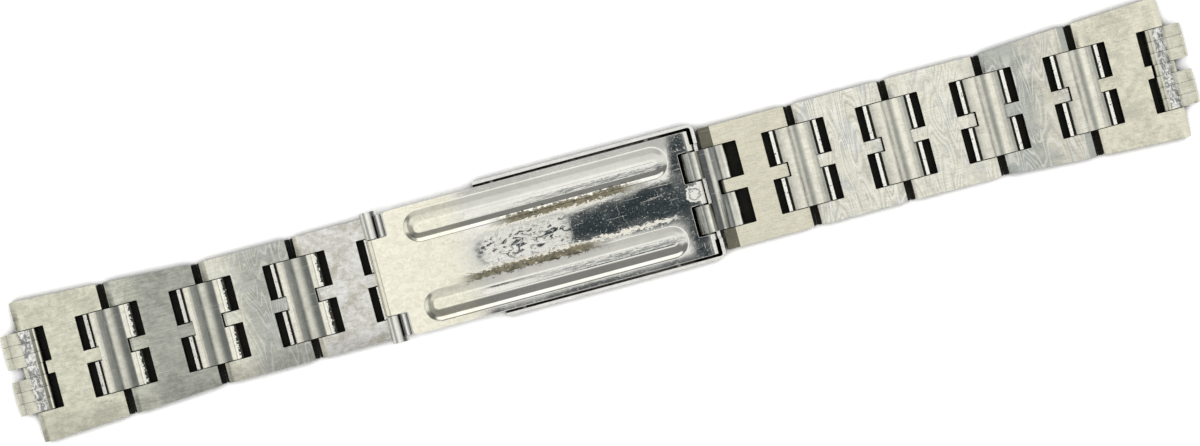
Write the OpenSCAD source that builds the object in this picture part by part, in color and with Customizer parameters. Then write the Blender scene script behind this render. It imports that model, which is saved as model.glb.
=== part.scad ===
// Steel link bracelet for a watch, with a folding clasp, lying flat with its outer face down.
// X runs along the bracelet, Y across it, Z up from the outer face to the wrist side.
// The origin is at the middle of the bracelet, on the plane that the outer faces lie on.

/* [Links] */
// Length of one link along the bracelet
link_l = 11.4; // [9:0.1:14]
// Gap between neighbouring links on the wrist side
link_gap = 1.05; // [0.9:0.05:2]
// Thickness of a link from its outer face to its wrist side
link_t = 2.2; // [2:0.05:2.8]
// Width of the straight links in the middle of each half
link_w = 16; // [15:0.1:18]
// Width where the second link meets the last one
shoulder_w = 17.4; // [16:0.1:20]
// Width of the bracelet at the watch case
case_w = 18.55; // [17:0.05:22]
// Thickness of the sheet that a link is folded from
link_sheet = 0.4; // [0.3:0.05:0.5]
// Length of the pocket at each end of a link
pocket_l = 3.6; // [3.2:0.05:4]
// Length of the pocket beside the clasp
clasp_pocket_l = 4.4; // [3.6:0.05:4.8]
// Width of the tongue that stands in the middle of a pocket
tongue_w = 1.63; // [1.2:0.01:2]
// Outer radius of the knuckle at the end of a tongue, flush with the wrist side
tongue_r = 0.79; // [0.7:0.01:0.8]
// Reach of the front sheet into the gap between two links
lip_l = 0.45; // [0.1:0.05:0.45]
// Length of the bent edge at each end of a link
bend_l = 0.8; // [0.3:0.05:1.2]
// Length of the bent edge beside the clasp
clasp_bend_l = 1.55; // [0.8:0.05:1.6]
// Drop of a bent edge
bend_h = 0.16; // [0.05:0.01:0.3]

/* [Hinge pins] */
// Radius of every hinge pin
pin_r = 0.45; // [0.4:0.01:0.5]
// Distance from the end of a link to its pin
pin_inset = 1.73; // [1.6:0.01:1.9]
// Length of a link pin
link_pin_l = 13.6; // [12.5:0.1:14.5]
// Radial clearance where a knuckle turns on a pin
run_clear = 0.04; // [0.02:0.01:0.08]
// Radial clearance where a pin is held still
seat_clear = 0.01; // [0.005:0.005:0.02]
// Clearance at the end of a blind pin hole
pin_end_clear = 0.05; // [0.02:0.01:0.1]

/* [Connectors] */
// Width of the connectors, the end links and the double hinge at the clasp
conn_w = 10.6; // [9:0.1:11]
// Side clearance of a connector in its pocket
conn_side_clear = 0.1; // [0.05:0.05:0.2]
// Side clearance of a tongue in its slot
slot_side_clear = 0.15; // [0.1:0.01:0.3]
// Outer radius of a connector barrel
barrel_r = 0.89; // [0.8:0.01:0.95]
// Thickness of the connector sheet
conn_sheet = 0.38; // [0.3:0.01:0.45]
// Width of the raised rib over the gap
dome_w = 3.3; // [2.8:0.1:3.6]
// Rise of that rib above the barrels
dome_h = 0.6; // [0.3:0.05:0.7]
// Clearance from a tongue's knuckle to the slot end, away from the clasp
slot_end_clear = 0.07; // [0.05:0.01:0.2]
// Further length of the slot on the side of the clasp
slot_extra = 0.24; // [0:0.01:0.4]
// Gap between a connector's inner sheet and the front sheet of a link
floor_gap = 0.35; // [0.3:0.01:0.5]

/* [End links] */
// Number of leaves across an end link
leaf_count = 7; // [5:2:9]
// Radius of the bore for the case spring bar
lug_bore_r = 0.85; // [0.75:0.01:0.9]
// Outer radius of the barrel around that bore
lug_barrel_r = 1.15; // [1.1:0.01:1.25]
// Distance from the end of the last link to the case spring bar
lug_reach = 1.15; // [1:0.05:1.4]
// Width of the notch in the middle of an end link
lug_notch_w = 1.6; // [1:0.05:2]
// Distance that the notch runs past the case bore
lug_notch_past = 0.1; // [0.05:0.05:0.3]
// Clearance between an end link and the tongue behind it
stub_clear = 0.13; // [0.05:0.01:0.2]
// Depth of the waist between the two barrels, on the front
end_waist = 0.25; // [0.1:0.05:0.4]
// Width of the groove between two leaves
leaf_groove_w = 0.1; // [0.05:0.01:0.2]
// Depth of the groove between two leaves
leaf_groove_d = 0.08; // [0.04:0.01:0.12]

/* [Clasp cover] */
// Length of the clasp cover
cover_l = 29.25; // [27:0.05:32]
// Width of the clasp cover
cover_w = 17.8; // [17.6:0.05:19]
// Height of the side walls of the cover
cover_h = 2.9; // [2.6:0.05:3.2]
// Thickness of the cover sheet
cover_sheet = 0.4; // [0.3:0.05:0.42]
// Gap between the cover and the link that enters it
cover_gap = 0.3; // [0.25:0.05:0.6]
// Radius of the cover corners seen from above
cover_corner_r = 1; // [0.5:0.1:1.4]
// Width of each end tab of the cover
tab_w = 2.6; // [1.5:0.1:2.7]
// Clearance between the end tabs and the inner blade
tab_clear = 0.11; // [0.05:0.01:0.15]
// Distance from the cover end to the hinge of the middle blade
fold_inset = 6.25; // [5.5:0.05:8]
// Number of spring bar holes in each side wall
adjust_count = 4; // [2:1:6]
// Spacing of the spring bar holes
adjust_step = 2.5; // [2:0.1:3]
// Radius of a spring bar hole
adjust_r = 0.38; // [0.36:0.01:0.42]

/* [Spring bar] */
// Outer radius of the spring bar tube
bar_r = 0.55; // [0.5:0.01:0.58]
// Wall of the spring bar tube
bar_wall = 0.14; // [0.1:0.01:0.16]
// Clearance between the spring bar tube and each wall of the cover
bar_end_clear = 0.6; // [0.4:0.05:0.9]
// Radius of a spring bar tip
tip_r = 0.3; // [0.26:0.01:0.32]
// Length of the lip that keeps a tip in the tube
bar_lip_l = 0.3; // [0.2:0.05:0.5]
// Length of the shoulder on a tip, inside the tube
tip_shoulder_l = 1.2; // [0.8:0.1:1.3]
// Gap between the spring's sleeve and a tip, more than a tip moves
spring_gap = 0.9; // [0.8:0.05:2]

/* [Clasp blades] */
// Thickness of the blade sheet
blade_sheet = 0.4; // [0.3:0.01:0.42]
// Outer radius of the blade knuckles
knuckle_r = 0.89; // [0.85:0.01:0.92]
// Distance from the last free link pin to the hinge between the blades above it
fold_over = 0.38; // [0.2:0.01:0.6]
// Gap between that hinge and the connector under it
fold_gap = 0.31; // [0.25:0.01:0.6]
// Rise of the inner blade's end hinge above the link pins
joint_rise = 0.49; // [0.4:0.01:0.6]
// Clearance between the inner blade and each wall of the cover
inner_clear = 0.35; // [0.3:0.05:1]
// Clearance between the middle blade and each wall of the cover
middle_clear = 0.5; // [0.4:0.05:1.2]
// Distance from the inner blade's end hinge to the end of the cover
joint_inset = 1.45; // [1.4:0.01:1.6]
// Width of the centre knuckle between the blades
centre_knuckle_w = 10; // [8:0.1:11]
// Distance from the side of the cover to the end of a corner knuckle
corner_inset = 0.3; // [0.1:0.05:0.7]
// Gap between two knuckles on one pin
knuckle_gap = 0.1; // [0.05:0.01:0.2]
// Rise of the ribs on the inner blade
rib_h = 0.55; // [0.3:0.05:0.7]
// Width of the ribs on the inner blade
rib_w = 3.5; // [2.5:0.1:3.8]
// Distance of the ribs from the middle of the blade
rib_y = 5.15; // [4.5:0.05:5.8]
// Distance from the blade hinge to the full width of the inner blade
corner_l = 2; // [1.6:0.1:2.4]
// Distance from the blade hinge to the start of the ribs
rib_start = 3.5; // [3:0.1:5]
// Distance from the end of those ribs to the end hinge
rib_end_gap = 4.1; // [3:0.1:8]
// Rise of the ribs on the middle blade
middle_rib_h = 0.35; // [0.2:0.05:0.45]
// Width of the ribs on the middle blade
middle_rib_w = 2.4; // [1.5:0.1:2.6]
// Distance from the blade hinge to the ribs on the middle blade
middle_rib_start = 5; // [4:0.1:7]
// Distance from the end of those ribs to the hinge on the cover
middle_rib_end_gap = 10.1; // [6:0.1:16]
// Length of the windows at the end of the inner blade
blade_window_l = 2.1; // [1.8:0.05:2.5]
// Side clearance of the blade connector in those windows
window_clear = 0.2; // [0.1:0.05:0.3]

/* [Blade connector] */
// Outer radius of the barrels on the blade side
joint_barrel_r = 1.2; // [1:0.01:1.3]
// Outer radius of the roll over the link pin
link_roll_r = 1.3; // [1:0.01:1.35]
// Width of the gap between the two blade barrels
joint_gap_w = 3.4; // [2.6:0.1:4]
// Thickness of the web between the two hinges
joint_web_t = 1; // [0.8:0.05:1.2]
// Gap between the last link and the end of the cover
joint_link_gap = 0.45; // [0.4:0.05:0.8]

/* [Hidden] */
$fn = 48;
cut = 0.5;
halves = 5;
pitch = link_l + link_gap;
pin_span = 2 * pin_inset + link_gap;
pocket_w = conn_w + 2 * conn_side_clear;
slot_w = tongue_w + 2 * slot_side_clear;
run_r = pin_r + run_clear;
seat_r = pin_r + seat_clear;
pin_z = link_t - tongue_r;
slot_shallow = tongue_r + slot_end_clear;
slot_deep = slot_shallow + slot_extra;
conn_floor_z = link_sheet + floor_gap;
// overlap that joins a rib to its sheet
sink = 0.05;
// the side of the bracelet before the clasp, measured from the first link
enter_end = halves * link_l + (halves - 1) * link_gap;
cover_x = enter_end + cover_gap;
cover_end = cover_x + cover_l;
leave_x = cover_end + joint_link_gap;
total_end = leave_x + halves * link_l + (halves - 1) * link_gap;
// everything is drawn from the first link and moved so that the middle is at zero
mid_x = total_end / 2;
enter_pin_x = enter_end - pin_inset;
bar_x = enter_pin_x + pin_span;
fold_pin_x = cover_end - fold_inset;
joint_x = cover_end - joint_inset;
joint_z = pin_z + joint_rise;
blade_x = enter_pin_x - pitch + fold_over;
fold_z = pin_z + barrel_r + fold_gap + knuckle_r;
leave_pin_x = leave_x + pin_inset;
middle_dx = fold_pin_x - blade_x;
middle_dz = pin_z - fold_z;
middle_len = norm([middle_dx, middle_dz]);
middle_tilt = -atan2(middle_dz, middle_dx);
inner_dx = joint_x - blade_x;
inner_dz = joint_z - fold_z;
inner_len = norm([inner_dx, inner_dz]);
inner_tilt = -atan2(inner_dz, inner_dx);
cover_inner_w = cover_w - 2 * cover_sheet;
inner_w = cover_inner_w - 2 * inner_clear;
middle_w = cover_inner_w - 2 * middle_clear;
corner_knuckle_w = cover_w - 2 * corner_inset;
rib_l = inner_len - rib_start - rib_end_gap;
middle_rib_l = middle_len - middle_rib_start - middle_rib_end_gap;
bar_l = cover_inner_w - 2 * bar_end_clear;
bar_bore_r = bar_r + run_clear;
tube_r = bar_r - bar_wall;
tip_reach = cover_w / 2;
// clearance of a tip in the lip of its tube
tip_clear = 0.02;
shoulder_y = bar_l / 2 - bar_lip_l - tip_clear;
spring_l = 2 * (shoulder_y - tip_shoulder_l - spring_gap);

// where each link starts, counted from the first link
function link_x(n) = n <= halves ? (n - 1) * pitch : leave_x + (n - halves - 1) * pitch;
// place of a link in its half, counted from the watch case
function rank(n) = n <= halves ? n : 2 * halves + 1 - n;
// widths of a link on the side of the watch case and on the side of the clasp
function case_side_w(n) = rank(n) == 1 ? case_w : rank(n) == 2 ? shoulder_w : link_w;
function clasp_side_w(n) = rank(n) == 1 ? shoulder_w : link_w;
// widths of a link at its left and right ends
function left_w(n) = n <= halves ? case_side_w(n) : clasp_side_w(n);
function right_w(n) = n <= halves ? clasp_side_w(n) : case_side_w(n);

// a bar across the bracelet, centred on Y
module across(r, l, x = 0, z = 0) {
    translate([x, l / 2, z])
        rotate([90, 0, 0])
            cylinder(r = r, h = l);
}

// a flat profile in X and Z, drawn out across the bracelet and centred on Y
module drawn(l) {
    translate([0, l / 2, 0])
        rotate([90, 0, 0])
            linear_extrude(height = l)
                children();
}

// two equal boxes on either side of the middle plane
module pair(x0, x1, y0, y1, z0, z1) {
    for (side = [-1, 1])
        translate([x0, side > 0 ? y0 : -y1, z0])
            cube([x1 - x0, y1 - y0, z1 - z0]);
}

// a pair of short bars across the bracelet, on either side of the middle plane
module bar_pair(r, y0, y1, x, z) {
    for (side = [-1, 1])
        translate([x, side > 0 ? y1 : -y0, z])
            rotate([90, 0, 0])
                cylinder(r = r, h = y1 - y0);
}

// side view of a link, with both ends bent down a little on the wrist side
module link_side(bend_a, bend_b) {
    polygon([
        [0, 0],
        [link_l, 0],
        [link_l, link_t - bend_h],
        [link_l - bend_b, link_t],
        [bend_a, link_t],
        [0, link_t - bend_h]
    ]);
}

// one link: a hollow folded plate with a pocket, a tongue and a pin at each end
module link(n) {
    first = n == 1;
    last = n == 2 * halves;
    beside = n == halves + 1;
    x = link_x(n);
    pocket_a = beside ? clasp_pocket_l : pocket_l;
    lip_a = first || beside ? 0 : lip_l;
    lip_b = last || n == halves ? 0 : lip_l;
    color([0.78, 0.78, 0.76])
        translate([x - mid_x, 0, 0])
            difference() {
                union() {
                    intersection() {
                        drawn(case_w + 2)
                            link_side(beside ? clasp_bend_l : bend_l, bend_l);
                        linear_extrude(height = link_t)
                            polygon([
                                [0, -left_w(n) / 2],
                                [link_l, -right_w(n) / 2],
                                [link_l, right_w(n) / 2],
                                [0, left_w(n) / 2]
                            ]);
                    }
                    if (lip_a > 0)
                        translate([-lip_a, -left_w(n) / 2, 0])
                            cube([lip_a, left_w(n), link_sheet]);
                    if (lip_b > 0)
                        translate([link_l, -right_w(n) / 2, 0])
                            cube([lip_b, right_w(n), link_sheet]);
                }
                // pockets, with the front sheet left whole under them
                link_pocket(0, pocket_a, first, 1);
                link_pocket(link_l, pocket_l, last, -1);
                // hollow between the two sheets
                pair(pocket_a - cut, link_l - pocket_l + cut, tongue_w / 2, pocket_w / 2,
                    link_sheet, link_t - link_sheet);
                // blind holes for the pins
                across(seat_r, link_pin_l + 2 * pin_end_clear, pin_inset, pin_z);
                across(seat_r, link_pin_l + 2 * pin_end_clear, link_l - pin_inset, pin_z);
            }
}

// the pocket at one end of a link: end is the end's place and way points into the link
module link_pocket(end, l, stub, way) {
    depth = link_t - link_sheet + cut;
    translate([end, 0, link_sheet])
        difference() {
            translate([way > 0 ? -cut : -l, -pocket_w / 2, 0])
                cube([l + cut, pocket_w, depth]);
            if (stub)
                translate([way > 0 ? pin_inset + barrel_r + stub_clear : -l - cut, -tongue_w / 2, -cut])
                    cube([l + cut - pin_inset - barrel_r - stub_clear, tongue_w, depth + 2 * cut]);
            else {
                translate([way > 0 ? pin_inset : -l - cut, -tongue_w / 2, -cut])
                    cube([l + cut - pin_inset, tongue_w, depth + 2 * cut]);
                across(tongue_r, tongue_w, way * pin_inset, pin_z - link_sheet);
            }
        }
}

// the two pins of one link
module link_pins(n) {
    color([0.62, 0.62, 0.62])
        for (x = [pin_inset, link_l - pin_inset])
            across(pin_r, link_pin_l, link_x(n) - mid_x + x, pin_z);
}

// side view of the raised rib on a connector, centred on the gap
module dome_side(shrink) {
    outer_r = dome_w * dome_w / (8 * dome_h) + dome_h / 2;
    top = pin_z + barrel_r + dome_h;
    translate([0, top - outer_r])
        circle(r = outer_r - shrink, $fn = 96);
}

// side view of a connector between two link pins, centred on the gap
module connector_side() {
    half = pin_span / 2;
    top = pin_z + barrel_r;
    difference() {
        union() {
            for (x = [-half, half])
                translate([x, pin_z])
                    circle(r = barrel_r);
            translate([-half, conn_floor_z])
                square([pin_span, conn_sheet]);
            translate([-half, top - conn_sheet])
                square([pin_span, conn_sheet]);
            intersection() {
                dome_side(0);
                translate([-half, top - conn_sheet])
                    square([pin_span, dome_h + conn_sheet]);
            }
        }
        intersection() {
            dome_side(conn_sheet);
            translate([-half, conn_floor_z + conn_sheet])
                square([pin_span, top + dome_h - conn_floor_z]);
        }
        for (x = [-half, half])
            translate([x, pin_z])
                circle(r = run_r);
    }
}

// slots in a connector for the tongues of the two links that it joins
module connector_slots(deep_a, deep_b) {
    half = pin_span / 2;
    height = link_t + dome_h + 2 * cut;
    end = half + barrel_r + cut;
    slot_a = half - (deep_a ? slot_deep : slot_shallow);
    slot_b = half - (deep_b ? slot_deep : slot_shallow);
    translate([-end, -slot_w / 2, -cut / 2])
        cube([end - slot_a, slot_w, height + cut]);
    translate([slot_b, -slot_w / 2, -cut / 2])
        cube([end - slot_b, slot_w, height + cut]);
}

// one connector, named after the link on its left
module connector(n) {
    gap_x = link_x(n) + link_l + link_gap / 2 - mid_x;
    color([0.8, 0.8, 0.77])
        translate([gap_x, 0, 0])
            difference() {
                drawn(conn_w)
                    connector_side();
                connector_slots(n > halves, n < halves);
            }
}

// the flat connector that ends on the spring bar inside the cover
module clasp_connector() {
    half = pin_span / 2;
    color([0.8, 0.8, 0.77])
        translate([enter_pin_x + half - mid_x, 0, 0])
            difference() {
                drawn(conn_w)
                    difference() {
                        union() {
                            for (x = [-half, half])
                                translate([x, pin_z])
                                    circle(r = barrel_r);
                            translate([-half, conn_floor_z])
                                square([pin_span, conn_sheet]);
                            translate([-half, pin_z + barrel_r - conn_sheet])
                                square([pin_span, conn_sheet]);
                        }
                        translate([-half, pin_z])
                            circle(r = run_r);
                        translate([half, pin_z])
                            circle(r = bar_bore_r);
                    }
                translate([-half - barrel_r - cut, -slot_w / 2, -cut])
                    cube([barrel_r + cut + slot_shallow, slot_w, link_t + 2 * cut]);
            }
}

// side view of an end link; the case spring bar is at x = 0 and the link pin at x = span
module end_side(span, shrink) {
    circle(r = lug_barrel_r - shrink);
    translate([span, 0])
        circle(r = barrel_r - shrink);
    polygon([
        [0, -lug_barrel_r + shrink + end_waist],
        [span, -barrel_r + shrink + end_waist],
        [span, barrel_r - shrink],
        [0, lug_barrel_r - shrink]
    ]);
}

// an end link for the watch case, made of leaves with a groove between each two
module end_link() {
    span = lug_reach + pin_inset;
    leaf = conn_w / leaf_count;
    difference() {
        union() {
            drawn(conn_w)
                end_side(span, leaf_groove_d);
            for (n = [0 : leaf_count - 1])
                translate([0, (n + 0.5) * leaf - conn_w / 2, 0])
                    drawn(leaf - leaf_groove_w)
                        end_side(span, 0);
        }
        across(lug_bore_r, conn_w + 2 * cut);
        across(run_r, conn_w + 2 * cut, span);
        translate([-lug_barrel_r - cut, -lug_notch_w / 2, -lug_barrel_r - cut])
            cube([lug_barrel_r + lug_bore_r + lug_notch_past + cut, lug_notch_w, 2 * lug_barrel_r + 2 * cut]);
    }
}

module end_link_a() {
    color([0.82, 0.82, 0.78])
        translate([-lug_reach - mid_x, 0, pin_z])
            end_link();
}

module end_link_b() {
    color([0.82, 0.82, 0.78])
        translate([total_end + lug_reach - mid_x, 0, pin_z])
            rotate([0, 0, 180])
                end_link();
}

// outline of the cover from above, inset by a wall, from a start on X
module cover_plan(inset, start) {
    r = cover_corner_r - inset;
    w = cover_w / 2 - inset;
    end = cover_l - inset;
    union() {
        translate([start, -w])
            square([end - r - start, 2 * w]);
        translate([end - r - cut, -w + r])
            square([r + cut, 2 * w - 2 * r]);
        for (side = [-1, 1])
            translate([end - r, side * (w - r)])
                circle(r = r);
    }
}

// the outer shell of the clasp: floor, side walls, end tabs and spring bar holes
module clasp_cover() {
    inner_x = joint_x - cover_x + knuckle_r + tab_clear;
    color([0.85, 0.85, 0.84])
        translate([cover_x - mid_x, 0, 0])
            difference() {
                linear_extrude(height = cover_h)
                    cover_plan(0, 0);
                translate([0, 0, cover_sheet])
                    linear_extrude(height = cover_h)
                        intersection() {
                            cover_plan(cover_sheet, -cut);
                            translate([-cover_l, -cover_w])
                                square([cover_l + inner_x, 2 * cover_w]);
                        }
                // the end is open between the two tabs
                translate([inner_x - cut, -cover_w / 2 + tab_w, cover_sheet])
                    cube([cover_l, cover_w - 2 * tab_w, cover_h]);
                across(seat_r, cover_w + 2 * cut, fold_pin_x - cover_x, pin_z);
                for (n = [0 : adjust_count - 1])
                    across(adjust_r, cover_w + 2 * cut, bar_x - cover_x + n * adjust_step, pin_z);
            }
}

// a long rib with round ends, as the part of a ball and a bar above the sheet
module rib(l, w, h, z) {
    r = w * w / (8 * h) + h / 2;
    intersection() {
        union() {
            translate([w / 2, 0, z + h - r])
                rotate([0, 90, 0])
                    cylinder(r = r, h = l - w, $fn = 96);
            for (x = [w / 2, l - w / 2])
                translate([x, 0, z + h - r])
                    sphere(r = r, $fn = 96);
        }
        translate([-cut, -w, z - sink])
            cube([l + 2 * cut, 2 * w, h + cut]);
    }
}

// the blade that shows, drawn from its fold hinge along its own length
module inner_blade() {
    top = knuckle_r;
    low = knuckle_r - blade_sheet;
    half = inner_w / 2;
    color([0.86, 0.86, 0.86])
        translate([blade_x - mid_x, 0, fold_z])
            rotate([0, inner_tilt, 0])
                difference() {
                    union() {
                        translate([corner_l, -half, low])
                            cube([inner_len - corner_l, inner_w, blade_sheet]);
                        translate([0, -centre_knuckle_w / 2, low])
                            cube([corner_l + cut, centre_knuckle_w, blade_sheet]);
                        across(knuckle_r, centre_knuckle_w);
                        across(knuckle_r, inner_w, inner_len);
                        for (side = [-1, 1])
                            translate([rib_start, side * rib_y, 0])
                                rib(rib_l, rib_w, rib_h, top);
                    }
                    for (side = [-1, 1])
                        translate([rib_start + blade_sheet, side * rib_y, 0])
                            rib(rib_l - 2 * blade_sheet, rib_w - 2 * blade_sheet, rib_h, low);
                    across(run_r, centre_knuckle_w + 2 * cut);
                    across(seat_r, inner_w + 2 * cut, inner_len);
                    pair(inner_len - blade_window_l, inner_len + knuckle_r + cut,
                        joint_gap_w / 2 - window_clear, conn_w / 2 + window_clear,
                        -knuckle_r - cut, top + cut);
                }
}

// the blade between the inner blade and the cover, drawn from its fold hinge along its length
module middle_blade() {
    half = middle_w / 2;
    low = -blade_sheet / 2;
    clear_x = knuckle_r + knuckle_gap;
    color([0.84, 0.84, 0.84])
        translate([blade_x - mid_x, 0, fold_z])
            rotate([0, middle_tilt, 0])
                difference() {
                    union() {
                        translate([clear_x, -half, low])
                            cube([middle_len - clear_x, middle_w, blade_sheet]);
                        pair(0, clear_x + cut, centre_knuckle_w / 2 + knuckle_gap, half, low, -low);
                        bar_pair(knuckle_r, centre_knuckle_w / 2 + knuckle_gap, corner_knuckle_w / 2, 0, 0);
                        across(knuckle_r, middle_w - 2 * knuckle_gap, middle_len);
                        for (side = [-1, 1])
                            translate([middle_rib_start, side * rib_y, 0])
                                rib(middle_rib_l, middle_rib_w, middle_rib_h, -low);
                    }
                    for (side = [-1, 1])
                        translate([middle_rib_start + blade_sheet, side * rib_y, 0])
                            rib(middle_rib_l - 2 * blade_sheet, middle_rib_w - 2 * blade_sheet, middle_rib_h, low);
                    across(seat_r, corner_knuckle_w + 2 * cut);
                    across(run_r, middle_w + 2 * cut, middle_len);
                }
}

// the double hinge between the inner blade and the first link beyond the clasp
module blade_connector() {
    rise = joint_z - pin_z;
    span = leave_pin_x - joint_x;
    web_a = knuckle_r + knuckle_gap;
    web_b = span - slot_shallow;
    half = joint_web_t / 2;
    color([0.8, 0.8, 0.78])
        translate([joint_x - mid_x, 0, joint_z])
            difference() {
                drawn(conn_w)
                    union() {
                        circle(r = joint_barrel_r);
                        translate([span, -rise])
                            circle(r = barrel_r);
                        intersection() {
                            translate([span, -rise])
                                circle(r = link_roll_r);
                            translate([web_a, -rise - half])
                                square([2 * span, 2 * link_roll_r]);
                        }
                        polygon([
                            [0, -half],
                            [span, -rise - half],
                            [span, -rise + half],
                            [0, half]
                        ]);
                    }
                across(run_r, conn_w + 2 * cut);
                across(run_r, conn_w + 2 * cut, span, -rise);
                translate([-joint_barrel_r - cut, -joint_gap_w / 2, -joint_barrel_r - cut])
                    cube([joint_barrel_r + cut + web_a, joint_gap_w, 2 * joint_barrel_r + 2 * cut]);
                translate([web_b, -slot_w / 2, -rise - link_roll_r - cut])
                    cube([2 * link_roll_r + cut, slot_w, 2 * link_roll_r + 2 * cut]);
            }
}

module cover_hinge_pin() {
    color([0.62, 0.62, 0.62])
        across(pin_r, cover_w, fold_pin_x - mid_x, pin_z);
}

module blade_hinge_pin() {
    color([0.62, 0.62, 0.62])
        across(pin_r, corner_knuckle_w, blade_x - mid_x, fold_z);
}

module connector_hinge_pin() {
    color([0.62, 0.62, 0.62])
        across(pin_r, inner_w, joint_x - mid_x, joint_z);
}

// the tube of the spring bar that holds the bracelet in the cover
module spring_bar_tube() {
    color([0.6, 0.6, 0.6])
        difference() {
            across(bar_r, bar_l, bar_x - mid_x, pin_z);
            across(tube_r, bar_l - 2 * bar_lip_l, bar_x - mid_x, pin_z);
            across(tip_r + tip_clear, bar_l + 2 * cut, bar_x - mid_x, pin_z);
        }
}

// one tip of the spring bar, with its shoulder behind the lip of the tube
module spring_bar_tip(side) {
    color([0.7, 0.7, 0.7])
        translate([bar_x - mid_x, 0, pin_z])
            rotate([side * -90, 0, 0]) {
                translate([0, 0, shoulder_y - tip_shoulder_l])
                    cylinder(r = tube_r - run_clear, h = tip_shoulder_l);
                translate([0, 0, shoulder_y])
                    cylinder(r = tip_r, h = tip_reach - shoulder_y);
            }
}

module spring_bar_tip_a() {
    spring_bar_tip(1);
}

module spring_bar_tip_b() {
    spring_bar_tip(-1);
}

// the spring inside the tube, drawn as the sleeve that its wire fills
module spring_bar_spring() {
    color([0.5, 0.5, 0.5])
        difference() {
            across(tube_r - run_clear, spring_l, bar_x - mid_x, pin_z);
            across(tube_r / 2, spring_l + 2 * cut, bar_x - mid_x, pin_z);
        }
}

link(1);  // link_01
link(2);  // link_02
link(3);  // link_03
link(4);  // link_04
link(5);  // link_05
link(6);  // link_06
link(7);  // link_07
link(8);  // link_08
link(9);  // link_09
link(10);  // link_10
link_pins(1);  // link_pins_01
link_pins(2);  // link_pins_02
link_pins(3);  // link_pins_03
link_pins(4);  // link_pins_04
link_pins(5);  // link_pins_05
link_pins(6);  // link_pins_06
link_pins(7);  // link_pins_07
link_pins(8);  // link_pins_08
link_pins(9);  // link_pins_09
link_pins(10);  // link_pins_10
connector(1);  // connector_01
connector(2);  // connector_02
connector(3);  // connector_03
connector(4);  // connector_04
connector(6);  // connector_06
connector(7);  // connector_07
connector(8);  // connector_08
connector(9);  // connector_09
clasp_connector();
blade_connector();
end_link_a();
end_link_b();
clasp_cover();
middle_blade();
inner_blade();
cover_hinge_pin();
blade_hinge_pin();
connector_hinge_pin();
spring_bar_tube();
spring_bar_tip_a();
spring_bar_tip_b();
spring_bar_spring();
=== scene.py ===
"""Looks of a steel watch bracelet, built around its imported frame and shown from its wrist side."""

import math
import random

import bpy
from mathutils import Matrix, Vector


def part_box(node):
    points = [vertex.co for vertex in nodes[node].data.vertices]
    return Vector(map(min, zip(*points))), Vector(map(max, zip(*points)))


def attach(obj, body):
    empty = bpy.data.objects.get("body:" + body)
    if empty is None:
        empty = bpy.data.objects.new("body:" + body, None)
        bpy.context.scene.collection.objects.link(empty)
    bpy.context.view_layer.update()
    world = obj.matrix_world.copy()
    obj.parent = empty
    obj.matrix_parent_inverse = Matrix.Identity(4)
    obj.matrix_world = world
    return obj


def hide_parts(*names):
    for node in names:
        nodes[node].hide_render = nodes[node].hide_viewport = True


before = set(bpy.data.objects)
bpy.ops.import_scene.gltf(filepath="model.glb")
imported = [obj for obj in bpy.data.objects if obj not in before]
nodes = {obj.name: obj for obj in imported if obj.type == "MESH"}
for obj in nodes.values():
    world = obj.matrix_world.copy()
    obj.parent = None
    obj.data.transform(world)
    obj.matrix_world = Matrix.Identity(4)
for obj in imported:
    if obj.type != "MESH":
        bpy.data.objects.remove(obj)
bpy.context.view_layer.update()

MM = 0.001
# sizes in millimetres, as in the CAD model
LINK_L, LINK_T, LINK_SHEET = 11.4, 2.2, 0.4
LINK_W, SHOULDER_W, CASE_W = 16.0, 17.4, 18.55
POCKET_L, CLASP_POCKET_L, POCKET_W = 3.6, 4.4, 10.8
TONGUE_W, TONGUE_R, SLOT_W = 1.63, 0.79, 1.93
LIP_L, BEND_L, CLASP_BEND_L, BEND_H = 0.45, 0.8, 1.55, 0.16
PIN_R, PIN_Z, PIN_INSET, PIN_SPAN = 0.45, 1.41, 1.73, 4.51
BARREL_R, CONN_W, CONN_SHEET = 0.89, 10.6, 0.38
DOME_W, DOME_H = 3.3, 0.6
SLOT_SHALLOW, SLOT_DEEP = 0.86, 1.1
LUG_X, LUG_R, LUG_BORE_R, NOTCH_L = 1.15, 1.15, 0.85, 0.95
KNUCKLE_R, BLADE_SHEET, BLADE_W = 0.89, 0.4, 16.3
RUN_R, SEAT_R = PIN_R + 0.04, PIN_R + 0.01
LEAVES = 7
PITCH = 12.45


# modelling tools

def deselect():
    if bpy.context.object and bpy.context.object.mode != "OBJECT":
        bpy.ops.object.mode_set(mode="OBJECT")
    bpy.ops.object.select_all(action="DESELECT")


def take(piece):
    deselect()
    piece.select_set(True)
    bpy.context.view_layer.objects.active = piece


def named(name):
    """Names the new primitive and applies its place."""
    piece = bpy.context.object
    piece.name = name
    piece.data.name = name
    bpy.ops.object.transform_apply(location=True, rotation=True, scale=True)
    return piece


def block(name, x0, x1, y0, y1, z0, z1):
    deselect()
    bpy.ops.mesh.primitive_cube_add(
        size=1, location=((x0 + x1) / 2, (y0 + y1) / 2, (z0 + z1) / 2),
        scale=(x1 - x0, y1 - y0, z1 - z0))
    return named(name)


def rod(name, r, y0, y1, x, z, sides=48):
    deselect()
    bpy.ops.mesh.primitive_cylinder_add(
        vertices=sides, radius=r, depth=y1 - y0,
        location=(x, (y0 + y1) / 2, z), rotation=(math.pi / 2, 0, 0))
    return named(name)


def arc(x, z, r, start, end, steps):
    """Points on an arc in X and Z; angles in degrees from +X towards +Z."""
    points = []
    for n in range(steps + 1):
        a = math.radians(start + (end - start) * n / steps)
        points.append((x + r * math.cos(a), z + r * math.sin(a)))
    return points


def stretch(origin, way, near, far):
    """Two places at these distances from an origin, the lower one first."""
    return sorted((origin + way * near, origin + way * far))


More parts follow.
